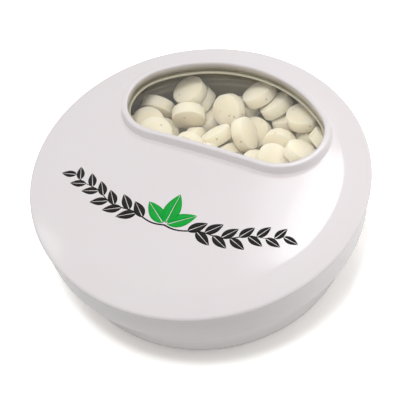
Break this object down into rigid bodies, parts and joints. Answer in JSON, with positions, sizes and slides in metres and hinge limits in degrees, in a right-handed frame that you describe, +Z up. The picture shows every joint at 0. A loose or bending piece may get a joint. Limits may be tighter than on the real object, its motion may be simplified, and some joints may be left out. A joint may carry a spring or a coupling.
{
  "type": "mint tin",
  "caption": "Round drawn tin with a slip-on domed lid, a half-moon window with a raised collar, and loose mints inside.",
  "frame": {"origin": "middle of the underside, on the table", "axes": "+Z up through the lid, +Y towards the middle of the window, +X to the right of it"},
  "size_m": [0.076, 0.076, 0.0294],
  "materials": {
    "tin_lacquer": "glossy white lacquer on drawn tinplate",
    "clear_pane": "clear polished plastic",
    "ring_plastic": "cream moulded plastic",
    "mint": "pressed sugar, matt cream white"
  },
  "bodies": {
    "base": {"base": "tin_lacquer", "mints_bottom": "mint", "mints_middle": "mint", "mints_top": "mint"},
    "lid": {"lid": "tin_lacquer", "window_pane": "clear_pane", "window_ring": "ring_plastic"}
  },
  "joints": [
    {"name": "lid_lift", "type": "slide", "parent": "base", "child": "lid", "axis": [0, 0, 1], "range_m": [0, 0.03]}
  ]
}
